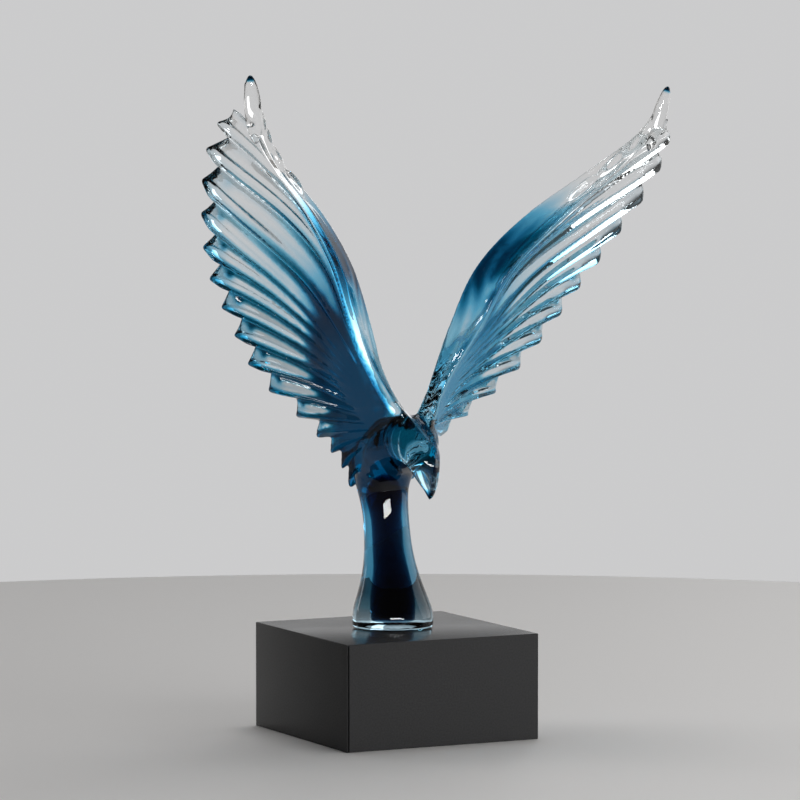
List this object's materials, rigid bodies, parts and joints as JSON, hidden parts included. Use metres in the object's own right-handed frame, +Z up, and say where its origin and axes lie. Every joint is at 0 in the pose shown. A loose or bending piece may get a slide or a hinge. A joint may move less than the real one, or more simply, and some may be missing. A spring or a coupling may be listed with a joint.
{
  "type": "eagle sculpture",
  "caption": "Desk sculpture of an eagle with raised wings and a bowed head, cast with its waisted column in clear blue resin, on a square dark plinth.",
  "frame": {"origin": "middle of the plinth's underside", "axes": "+Z up, -Y the way the bird faces, +X towards the bird's left wing"},
  "size_m": [0.3338, 0.16, 0.4369],
  "materials": {
    "resin": "polished clear casting resin, dyed deep blue in the body and clear at the feather tips",
    "plinth": "matt anthracite lacquer"
  },
  "bodies": {
    "root": {"eagle": "resin", "plinth": "plinth"}
  },
  "joints": []
}
